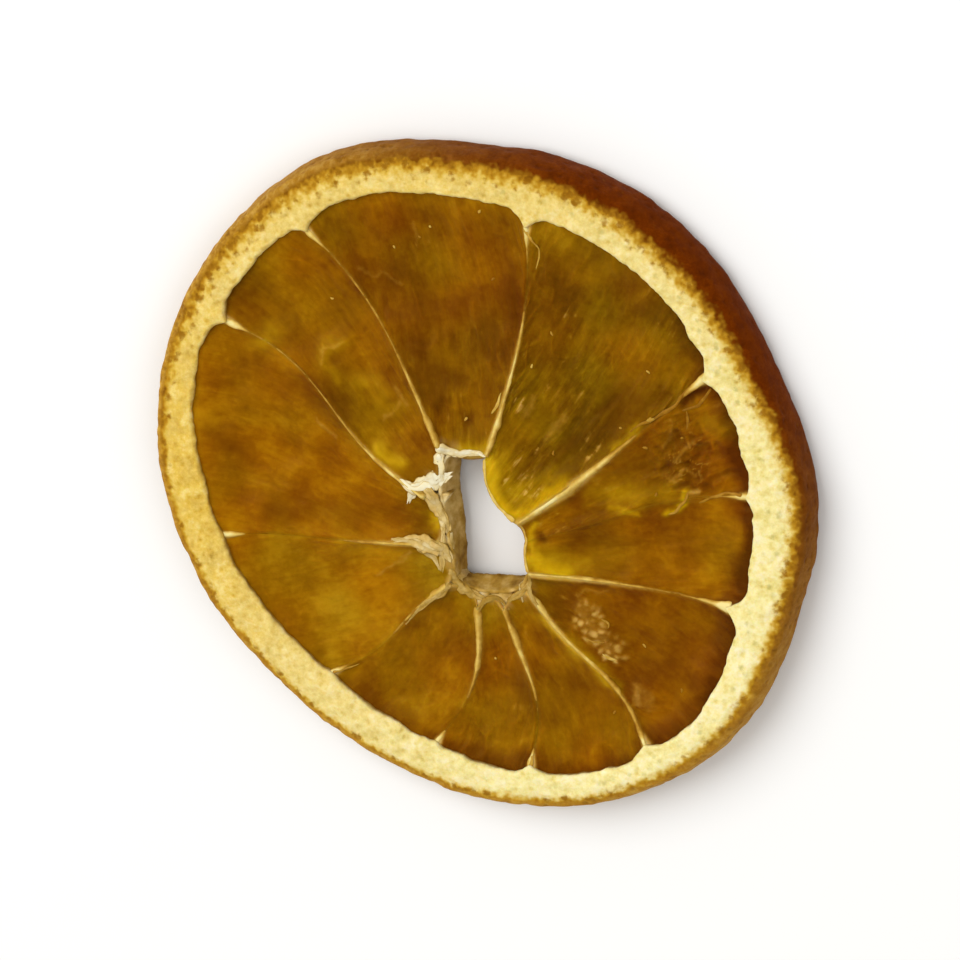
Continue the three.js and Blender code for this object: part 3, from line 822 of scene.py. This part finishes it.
def face_of_flesh(index, share, t, seed):
    """Places on one face of a segment, its relief and the values that its colours come from."""
    segment = SEGMENTS[index]
    place = flesh_place(index, share, t)
    gaps = segment_gaps(index, share, t)
    (_, first_gap), (_, second_gap) = gaps
    inside = smooth_step(0.02, 0.4, np.minimum(first_gap, second_gap)) * smooth_step(0, 0.03, t)
    halo = np.zeros_like(t)
    for edge, gap in gaps:
        _, half, pale = edge_measures(edge, t)
        halo = np.maximum(halo, pale * np.exp(-((gap / (half + 0.12)) ** 2)))

    across = 0.5 * (first_gap - second_gap)
    local = np.stack([across, (1 - t) * FLESH_LENGTH], -1)
    winding = local + 0.5 * np.stack([noise(place, 2.0, seed + 3), noise(place, 2.0, seed + 4)], -1)
    lengthwise = folds(winding, (0.9, 3.0), seed + 5) * smooth_step(-0.4, 0.4, noise(place, 2.4, seed + 6))
    crosswise = folds(place, 1.5, seed + 7) * smooth_step(0.0, 0.6, noise(place, 2.8, seed + 8))
    crumpled = np.exp(-((norm(place - CRUMPLES_AT, axis=-1) / CRUMPLES_REACH) ** 3))
    creased = 1 - np.abs(layered_noise(place, 1.5, seed + 13))
    fine_relief = 0.1 * lengthwise + 0.09 * crosswise + 0.05 * noise(local, (0.5, 2.0), seed + 10)
    relief = (0.25 + 0.75 * segment["grainy"]) * fine_relief
    relief = relief + 0.2 * noise(place, 4.2, seed + 17) + 0.08 * noise(place, 1.6, seed + 19)
    relief = relief + 0.4 * crumpled * (creased - 0.6)

    angle = np.degrees(np.arctan2(place[..., 1], place[..., 0]))
    tone = segment["tone"] + 0.12 * noise(place, 5.5, 61) + 0.1 * noise(place, 2.2, 62)
    tone = tone + 0.12 * segment["grainy"] * smooth_step(0.4, 0.0, t)
    # Painted highlight: the crests of the folds are made a little lighter.
    tone = tone + 0.08 * np.maximum(lengthwise, crosswise) - 0.03
    # Painted shade: the flesh darkens in a band beside the raised pith, by direction round the slice
    # (negative values lighten it).
    painted_shade_band = smooth_step(0.87 + 0.06 * noise(place, 3.0, 63), 1.0, t)
    tone = tone - around(PAINTED_SHADE_BY_PITH, angle) * painted_shade_band - 0.06 * crumpled
    olive = segment["olive"] + 0.3 * noise(place, 4.5, 65) + 0.3 * smooth_step(0.4, 0.05, t)
    by_core = smooth_step(0.55, 0.2, t)
    grainy = segment["grainy"] * smooth_step(-0.3, 0.5, noise(place, 2.6, 66)) * (0.85 + 0.9 * by_core)
    # Painted highlight: the crests of the crumples are made paler.
    painted_crest_highlight = 0.4 * crumpled * smooth_step(0.86, 0.98, creased)
    clinging = 0.035 + 0.02 * noise(place, 0.7, 67)
    return dict(
        place=place, across=across, inside=inside, relief=relief, tone=tone,
        olive=np.clip(olive, 0, 1), pale=np.maximum(halo, painted_crest_highlight), grainy=np.maximum(grainy, crumpled),
        pithy=segment["pith"] * smooth_step(1.5, 0.4, t / clinging),
        # Painted shade in the hollows of the crumples, carried with the dark marks
        pits=0.35 * crumpled * smooth_step(0.6, 0.35, creased),
    )


def make_flesh(index, material):
    """One segment of flesh: its two faces, its outer wall in the pith and its end at the open core."""
    segment = SEGMENTS[index]
    first_angle, last_angle = rim_angles(index)
    radius = float(around(CUT_EDGE_RADII, first_angle))
    rim_width = math.radians(last_angle - first_angle) * radius * FLESH_SHARE
    columns = int(rim_width / FLESH_STEP) + 2
    even = np.linspace(0, 1, columns)
    closer_at_membranes = even - 0.45 * np.sin(2 * np.pi * even) / (2 * np.pi)
    share, t = np.meshgrid(closer_at_membranes, np.linspace(0, 1, FLESH_ROWS), indexing="ij")
    above = face_of_flesh(index, share, t, 31)
    below = face_of_flesh(index, share, t, 131)
    place = above["place"]
    rise, marks = mark_flesh(place)
    top, bottom = flesh_levels(index, share, t)
    top = top + (above["relief"] + rise) * above["inside"]
    bottom = bottom - 0.7 * below["relief"] * below["inside"]

    outward = place / norm(place, axis=-1, keepdims=True)
    edge = place + 0.35 * outward * np.clip((t - 0.93) / 0.07, 0, 1)[..., None] ** 2
    upper = np.concatenate([edge, top[..., None]], -1)
    lower = np.concatenate([edge, bottom[..., None]], -1)[:, ::-1]
    down = np.linspace(0, 1, WALL_ROWS + 2)[1:-1, None]
    outer_wall = upper[:, -1:] * (1 - down) + lower[:, :1] * down
    outer_wall[..., :2] += 0.06 * np.sin(np.pi * down) * outward[:, -1:]
    end_wall = lower[:, -1:] * (1 - down) + upper[:, :1] * down
    hollow = 0.15 * np.sin(np.pi * down[:, 0]) + 0.12 * noise(end_wall, (0.9, 0.9, 0.7), 211)
    inward = np.array([*OPEN_CORE_MIDDLE, 0]) - end_wall * [1, 1, 0]
    end_wall = end_wall - hollow[..., None] * inward / norm(inward, axis=-1, keepdims=True)
    half_wall = WALL_ROWS // 2
    points = np.concatenate([end_wall[:, half_wall:], upper, outer_wall, lower, end_wall[:, :half_wall]], 1)
    faces = tube_faces(points.shape[1], columns)

    def ring(over, under, at_end=None):
        """A value for each row of the ring: end wall, upper face, outer wall, underside, end wall."""
        starts = over[:, :1] if at_end is None else np.full((columns, 1), at_end)
        ends = np.repeat(starts, half_wall, 1)
        return np.concatenate([ends, over, np.repeat(over[:, -1:], WALL_ROWS, 1), under[:, ::-1], ends], 1)

    nothing = np.zeros_like(t)
    fibre_across = above["across"] * FIBRES_ACROSS + TEXTURES_APART * index
    fibre_along = (1 - t) * FIBRES_ALONG
    values = {
        "tone": ring(above["tone"], below["tone"]),
        "olive": ring(above["olive"], below["olive"]),
        "pale": ring(np.maximum(above["pale"], marks["pale"]), below["pale"], 0.0),
        "grainy": ring(above["grainy"], below["grainy"], 0.0),
        "yellow": ring(0.95 * marks["yellow"], nothing, 0.0),
        # Dark marks, with painted shade in the crumples' hollows
        "dark": ring(np.maximum(marks["dark"], above["pits"]), below["pits"], 0.0),
        "pithy": ring(above["pithy"], below["pithy"], 0.3 * segment["pith"]),
        "end_wall": ring(nothing, nothing, 1.0),
        "fibre_across": ring(fibre_across, fibre_across),
        "fibre_along": ring(fibre_along, fibre_along),
    }
    make_piece(f"flesh_{index + 1:02d}", points, faces, material, values)
    return upper.reshape(-1, 3)


def rounded_section(counts, corner):
    """A rounded rectangle as rows of (share of width, corners across, share of height, corners up).

    It runs up the inner side, out over the top, down the outer side and back below. A corner's
    radius is multiplied by the second and fourth numbers of a row.
    """
    inner, top, outer, bottom = counts
    rows = []

    def side(count, start, end):
        for step in range(count):
            share = step / count
            rows.append([a + (b - a) * share for a, b in zip(start, end)])

    def turn(across, across_sign, up, up_sign, from_angle):
        for step in range(corner):
            angle = math.radians(from_angle - 90 * step / corner)
            rows.append([across, across_sign + math.cos(angle), up, up_sign + math.sin(angle)])

    side(inner, (0, 0, 0, 1), (0, 0, 1, -1))
    turn(0, 1, 1, -1, 180)
    side(top, (0, 1, 1, 0), (1, -1, 1, 0))
    turn(1, -1, 1, -1, 90)
    side(outer, (1, 0, 1, -1), (1, 0, 0, 1))
    turn(1, -1, 0, 1, 0)
    side(bottom, (1, -1, 0, 0), (0, 1, 0, 0))
    turn(0, 1, 0, 1, -90)
    return np.array(rows)


def pith_edge(degrees):
    """Radius of the pith's inner edge in each direction."""
    radius = np.zeros(len(degrees))
    for index in range(len(MEMBRANES)):
        first, last = rim_angles(index)
        share = ((degrees - first) % 360) / (last - first)
        inside = share <= 1
        radius[inside] = pith_radius(index, share[inside])[1]
    return radius


def make_rim(material):
    """The pith with the rind outside it, as one closed ring."""
    degrees = np.arange(RIM_COLUMNS) * 360 / RIM_COLUMNS
    rows = rounded_section((14, 24, 26, 12), 5)
    inner = pith_edge(degrees)[:, None]
    outer = around(CUT_EDGE_RADII, degrees)[:, None]
    across, across_turn, up, up_turn = (rows[None, :, column] for column in range(4))
    across_place = across * (outer - inner) + across_turn * RIM_CORNER
    radius = inner + across_place

    flat = polar(radius, degrees[:, None])
    top = RIM_HEIGHT + WARP_LIFT + warp(flat)
    bottom = np.maximum(0, WARP_LIFT + warp(flat))
    height = bottom + up * (top - bottom) + up_turn * RIM_CORNER
    share_up = np.clip((height - bottom) / (top - bottom), 0, 1)
    share_out = np.clip(across_place / (outer - inner), 0, 1)
    belly = belly_at(degrees)[:, None] * np.sqrt(1 - share_up**2)
    tuck = BOTTOM_EDGE_TUCK * np.maximum(0, 1 - share_up / 0.3) ** 2
    radius = radius + (belly - tuck) * share_out**1.5
    crown = PITH_CROWN * np.sin(np.pi * share_out) - CUT_EDGE_DROP * share_out**4
    height = height + crown * smooth_step(0.2, 1.0, share_up)

    flat = polar(radius, degrees[:, None])
    points = np.concatenate([flat, height[..., None]], -1)
    depth_inside = np.clip(outer + belly - tuck - radius, 0, 9)
    on_top = share_up > 0.99
    skin_depth = np.where(on_top, (1 - share_out) * (outer - inner), depth_inside)

    out = np.concatenate([flat / radius[..., None], np.zeros_like(height)[..., None]], -1)
    wrinkle = 0.09 * layered_noise(points, (2.6, 2.6, 3.2), 91) + 0.05 * noise(points, 0.9, 93)
    pit = pits(points, 0.95, 99)
    at_skin = smooth_step(0.6, 1.0, share_out) * smooth_step(0, 0.2, share_up)
    points = points + out * ((wrinkle - 0.1 * pit) * at_skin)[..., None]
    by_flesh = smooth_step(0.12, 0.0, share_out) * smooth_step(0.5, 1, share_up)
    points = points + out * (0.07 * layered_noise(points, 0.8, 97) * by_flesh)[..., None]
    sponge = 0.08 * layered_noise(points, 0.9, 95) - 0.07 * pit
    points[..., 2] += sponge * smooth_step(0.6, 1.0, share_up) * smooth_step(0.0, 0.1, share_out)
    points[..., 2] = np.maximum(points[..., 2], 0)
    faces = grid_faces(len(rows), RIM_COLUMNS, closed=True)

    whole = np.ones_like(radius)
    between_faces = smooth_step(0.96, 0.88, share_up) * smooth_step(0.04, 0.12, share_up)
    values = {
        "skin_depth": skin_depth,
        "speckle_reach": around(SPECKLE_REACH, degrees)[:, None] * whole,
        "golden": around(GOLDEN_PITH, degrees)[:, None] * whole,
        # How far the rind is out of its painted shade in each direction
        "rind_out_of_painted_shade": around(RIND_OUT_OF_PAINTED_SHADE, degrees)[:, None] * whole,
        "pale_edge": 0.6 * around(PALE_EDGE, degrees)[:, None] * smooth_step(0.4, 0.95, share_up),
        "pit": pit,
        "vessels": around(GREEN_PITH, degrees)[:, None] * np.exp(-(((share_out - 0.45) / 0.18) ** 2)),
        "inner_wall": 0.9 * smooth_step(0.04, 0.0, share_out) * between_faces,
    }
    make_piece("rim", points, faces, material, values)


def running_mean(values, reach):
    """Values averaged with their neighbours up to reach places away."""
    count = 2 * reach + 1
    return np.convolve(np.pad(values, reach, mode="edge"), np.ones(count) / count, mode="valid")


def sideways(place):
    """The direction to the left of a path at each of its places."""
    along = np.gradient(place, axis=0)
    side = np.stack([-along[:, 1], along[:, 0]], -1)
    return side / norm(side, axis=-1, keepdims=True)


def wall_along(place, half, bottom, top, levels=2, lean=0.0, seed=1):
    """Places and faces of an upright wall along a path, closed at both ends.

    top and bottom hold heights across the wall at each place. The foot leans to the left.
    """
    side = sideways(place)
    half = half[:, None]
    up = np.linspace(0, 1, levels + 2)[1:-1]
    left = bottom[:, :1] + up * (top[:, :1] - bottom[:, :1])
    right = bottom[:, -1:] + up * (top[:, -1:] - bottom[:, -1:])
    heights = np.concatenate([left, top, right[:, ::-1], bottom[:, ::-1]], 1)
    across = np.concatenate([np.ones(levels), TOP_ACROSS, -np.ones(levels), TOP_ACROSS[::-1]]) * half
    low = np.concatenate([1 - up, 0 * TOP_ACROSS, 1 - up[::-1], 0 * TOP_ACROSS + 1])
    lean = np.broadcast_to(lean, len(place))[:, None]
    flat = place[:, None] + side[:, None] * (across + lean * low)[..., None]
    points = np.concatenate([flat, heights[..., None]], -1)
    rough = np.concatenate([np.ones(levels), 0 * TOP_ACROSS, np.ones(levels), 0 * TOP_ACROSS])
    shift = 0.08 * rough * layered_noise(points, (0.9, 0.9, 1.4), seed)
    points[..., :2] += side[:, None] * shift[..., None]
    return points, tube_faces(points.shape[1], len(place))


def make_membrane(index):
    """One membrane: a thin wall between two segments whose edges show where it is pale."""
    t = np.linspace(0.0, 1.03, 170)
    inner = np.clip(t, 0, 1)
    place = flesh_place(index, np.zeros_like(t), t)
    _, half, pale = edge_measures(index, inner)
    half = 0.88 * half * (1 + 0.35 * layered_noise(place, 1.2, 291 + index))
    tops, bottoms = [], []
    for across in TOP_ACROSS:
        beside = index if across > 0 else (index - 1) % len(MEMBRANES)
        (_, _), (_, width) = segment_gaps(beside, np.zeros_like(t), inner)
        share = np.abs(across) * half / width
        top, bottom = flesh_levels(beside, share if across > 0 else 1 - share, inner)
        tops.append(top)
        bottoms.append(bottom)
    shown = -0.02 + 0.12 * smooth_step(0.1, 0.5, pale) + 0.03 * noise(place, 0.5, 231 + index)
    dome = shown[:, None] * (1 - TOP_ACROSS**2) - 0.04
    top = np.stack(tops, -1) + dome
    bottom = np.minimum(np.stack(bottoms, -1) - dome, top - 0.1)
    points, faces = wall_along(place, half, bottom, top, 1, 0.0, 321 + index)
    pale = pale * (1 + 0.25 * noise(place, 1.1, 351 + index))
    shade = np.concatenate([[0.4], 1 - 0.5 * TOP_ACROSS**2])
    return points.reshape(-1, 3), faces, (pale[:, None] * np.tile(shade, 2)).ravel()


def make_lining(ground):
    """The torn lining of the open core: an upright wall with a ragged upper edge."""
    place = smooth_path(LINING, STRAND_STEP)
    top = running_mean(np.array([ground(spot) for spot in place]), 3) - 0.03
    top = top + 0.09 * layered_noise(place, 0.9, 611) + 0.05 * noise(place, 0.3, 615)
    top = top[:, None] + 0.08 * (1 - TOP_ACROSS**2)
    bottom = WARP_LIFT + UNDERSIDE_SINK + 0.1 + 0.15 * layered_noise(place, 1.1, 621)
    bottom = np.repeat(bottom[:, None], len(TOP_ACROSS), 1)
    half = 0.17 * (1 + 0.3 * layered_noise(place, 0.8, 631))
    x, y = place[:, 0], place[:, 1]
    room = np.where(y > -3.7, 0.3 + 0.6 * smooth_step(2.6, 1.4, y), np.where(x < -2.1, -2.4 - x, -9.65 - y))
    lean = running_mean(np.clip(room, 0, 0.9), 3)
    points, faces = wall_along(place, half, bottom, top, 9, lean, 641)
    below = top.max(1, keepdims=True) - points[..., 2]
    # The darkening of the wall deeper below its top edge is painted shade inside the open core.
    wall = 0.25 + 0.2 * smooth_step(-9, -2, y)[:, None] - 0.1 * smooth_step(0.5, 2.5, below)
    edge = 0.3 + 0.5 * smooth_step(-6, 1, y)[:, None]
    pale = wall + (edge - wall) * smooth_step(0.5, 0.05, below) + 0.15 * noise(points, 0.8, 645)
    return points.reshape(-1, 3), faces, pale.ravel()


def make_root(index, ground):
    """Torn tissue from a membrane's end to the lining of the open core."""
    length = MEMBRANES[index]["root"]
    end, before = flesh_place(index, np.zeros(2), np.array([0.0, 0.05]))
    inward = (end - before) / norm(end - before)
    away = np.linspace(-0.6, length, 20)
    place = end + away[:, None] * inward
    half = 0.15 + (0.15 + 0.55 * length) * smooth_step(-0.6, length, away)
    spots = place[:, None] + sideways(place)[:, None] * (half[:, None] * TOP_ACROSS)[..., None]
    top = np.array([[ground(spot) for spot in row] for row in spots])
    top = top - 0.12 + 0.06 * layered_noise(spots, 0.7, 651 + index)
    bottom = np.full_like(top, WARP_LIFT + UNDERSIDE_SINK + 0.2)
    points, faces = wall_along(place, half, bottom, top, 2, 0.0, 661 + index)
    pale = 0.5 + 0.25 * noise(points, 0.8, 671 + index)
    return points.reshape(-1, 3), faces, pale.ravel()


def make_strand(path, halves, pale, height, ground, seed, ragged=0.3, step=STRAND_STEP):
    """A fibre or shred along a path on the flesh, closed and tapering as its half widths say.

    It is palest along its top and takes the colour of the flesh at its foot.
    """
    place = smooth_path(path, step)
    count = len(place)
    share = np.linspace(0, 1, count)
    wander = np.stack([noise(place, 1.0, seed), noise(place, 1.0, seed + 1)], -1)
    place = place + 0.1 * wander * np.sin(np.pi * share)[:, None]
    to_end = np.minimum(share, 1 - share) * count * step
    ends = np.sqrt(1 - (1 - np.clip(to_end / max(halves), 0, 1)) ** 2)
    half = np.maximum(np.interp(share, [0, 0.5, 1], halves), 0.02) * np.maximum(ends, 0.15)
    angle = 2 * np.pi * np.arange(STRAND_SIDES) / STRAND_SIDES
    uneven = [np.clip(1 + ragged * layered_noise(place, 0.9, seed + turn, 4), 0.2, 2) for turn in (18, 27)]
    left, right = (half * share for share in uneven)
    reach = np.where(np.cos(angle) > 0, left[:, None], right[:, None]) * np.cos(angle)
    base = running_mean(np.array([ground(spot) for spot in place]), 2)
    tall = height * np.clip(half / max(halves), 0.2, 1)
    middle = base + 0.2 * tall + 0.3 * height * noise(place, 1.1, seed + 5) * ends
    flat = place[:, None] + sideways(place)[:, None] * reach[..., None]
    rough = 1 + ragged * noise(flat, 0.5, seed + 7)
    points = np.concatenate([flat, (middle[:, None] + tall[:, None] * np.sin(angle) * rough)[..., None]], -1)
    shade = pale * (0.4 + 0.6 * smooth_step(-0.1, 0.8, np.sin(angle))) * np.ones((count, 1))
    return points.reshape(-1, 3), tube_faces(STRAND_SIDES, count), shade.ravel()


def make_shred(path, halves, pale, ground, seed, rng):
    """Torn tissue along a path: a flat shred with narrower ones on it."""
    points, halves = np.asarray(path, float), np.asarray(halves)
    parts = [make_strand(points, halves, 0.9 * pale, 0.08, ground, seed, 0.35)]
    for number in range(3):
        shift = rng.uniform(-0.4, 0.4, points.shape) * max(halves)
        tint = pale * rng.uniform(0.9, 1.1)
        parts.append(make_strand(points + shift, 0.55 * halves, tint, 0.1, ground, seed + 10 * number, 0.35))
    return parts


def join_piece(name, parts, material):
    """One piece from many closed parts, each with places, faces and paleness."""
    start, places, faces, pale = 0, [], [], []
    for part_places, part_faces, part_pale in parts:
        places.append(part_places)
        faces.append(part_faces + start)
        pale.append(part_pale)
        start += len(part_places)
    joined = np.concatenate(places)
    make_piece(name, joined, np.concatenate(faces), material, {"pale": np.concatenate(pale)})


def ground_of(surface):
    """A function that gives the height of the flesh at a place."""
    tree = KDTree(len(surface))
    for number, (x, y, z) in enumerate(surface):
        tree.insert((x, y, 0), number)
    tree.balance()
    heights = surface[:, 2]

    def ground(spot):
        return float(np.mean([heights[number] for _, number, _ in tree.find_n((spot[0], spot[1], 0), 4)]))

    return ground


def make_strands(surface, strand, shred, rng):
    ground = ground_of(surface)
    join_piece("membranes", [make_membrane(index) for index in range(len(MEMBRANES))], strand)
    shreds = []
    for number, (path, halves, pale) in enumerate(SHREDS):
        shreds += make_shred(path, halves, pale, ground, 500 + 40 * number, rng)
    roots = [make_root(index, ground) for index in range(len(MEMBRANES)) if MEMBRANES[index]["root"]]
    join_piece("pith_shreds", [make_lining(ground), *roots, *shreds], shred)
    fibres = [
        make_strand(path, halves, pale, max(halves) * 0.45, ground, 2000 + 40 * number)
        for number, (path, halves, pale) in enumerate(FIBRES)
    ]
    # Each speck is a painted highlight: a short, slightly raised pale strand.
    for spot in PAINTED_GLINTS:
        turn, length, pale = rng.uniform(0, math.pi), rng.uniform(0.25, 0.5), rng.uniform(0.2, 0.6)
        reach = 0.5 * length * np.array([math.cos(turn), math.sin(turn)])
        path, seed = [spot - reach, spot + reach], 4000 + 40 * len(fibres)
        fibres.append(make_strand(path, (0.08, 0.12, 0.08), pale, 0.07, ground, seed, 0.3, 0.07))
    ends = np.linspace(0.04, 0.96, 12)
    by_core = np.full_like(ends, 0.012)
    left_edge = flesh_place(0, ends, by_core)
    right_edge = np.concatenate([flesh_place(index, ends, by_core) for index in (9, 10)])
    fibres.append(make_strand(left_edge, (0.3, 0.15, 0.18), 0.7, 0.13, ground, 5000))
    fibres.append(make_strand(right_edge, (0.2, 0.14, 0.12), 0.6, 0.12, ground, 5100))
    # The fibres piece also holds the specks of painted highlight.
    join_piece("fibres", fibres, strand)


def make_floor():
    mesh = bpy.data.meshes.new("floor")
    half = 1.5
    corners = [(-half, -half, 0), (half, -half, 0), (half, half, 0), (-half, half, 0)]
    mesh.from_pydata(corners, [], [(0, 1, 2, 3)])
    floor = bpy.data.objects.new("floor", mesh)
    bpy.context.scene.collection.objects.link(floor)
    n = Nodes("pale_floor")
    n.set("Base Color", (0.86, 0.855, 0.84, 1))
    n.set("Roughness", 0.7)
    mesh.materials.append(n.material)


def add_softbox(name, direction, distance, size, watts, tint=(1, 1, 1)):
    light = bpy.data.lights.new(name, "AREA")
    light.shape = "DISK"
    light.size = size
    light.energy = watts
    light.color = tint
    lamp = bpy.data.objects.new(name, light)
    lamp.location = Vector(direction).normalized() * distance
    lamp.rotation_euler = Vector(direction).to_track_quat("Z", "Y").to_euler()
    bpy.context.scene.collection.objects.link(lamp)


def light_scene():
    world = bpy.data.worlds.new("studio")
    world.use_nodes = True
    background = world.node_tree.nodes["Background"]
    background.inputs["Color"].default_value = (1.0, 0.99, 0.97, 1)
    background.inputs["Strength"].default_value = 0.55
    bpy.context.scene.world = world
    add_softbox("key", (-0.65, 0.65, 1.25), 0.9, 0.8, 6.3)
    add_softbox("fill", (1.0, 0.1, 1.3), 1.1, 0.7, 2.3)
    bpy.context.scene.view_settings.view_transform = "Standard"


def set_camera():
    toward = Vector((math.cos(CAMERA_TOWARD), math.sin(CAMERA_TOWARD), 0))
    beside = Vector((-math.sin(CAMERA_TOWARD), math.cos(CAMERA_TOWARD), 0))
    up = Vector((0, 0, 1))
    seen_toward = toward * math.cos(CAMERA_LEAN) - up * math.sin(CAMERA_LEAN)
    right = seen_toward * math.cos(CAMERA_TOWARD) - beside * math.sin(CAMERA_TOWARD)
    above = seen_toward * math.sin(CAMERA_TOWARD) + beside * math.cos(CAMERA_TOWARD)
    back = toward * math.sin(CAMERA_LEAN) + up * math.cos(CAMERA_LEAN)
    data = bpy.data.cameras.new("camera")
    data.lens = data.sensor_width * CAMERA_DISTANCE / VIEW_WIDTH
    camera = bpy.data.objects.new("camera", data)
    turn = Matrix((right, above, back)).transposed()
    target = Vector((0, 0, CAMERA_AIM_HEIGHT * MM))
    camera.matrix_world = Matrix.Translation(target + back * CAMERA_DISTANCE) @ turn.to_4x4()
    bpy.context.scene.collection.objects.link(camera)
    bpy.context.scene.camera = camera


def main():
    set_camera()
    light_scene()
    make_floor()
    rng = np.random.default_rng(7)
    flesh = flesh_material()
    surface = [make_flesh(index, flesh) for index in range(len(SEGMENTS))]
    make_rim(rim_material())
    make_strands(np.concatenate(surface), strand_material(), shred_material(), rng)


main()
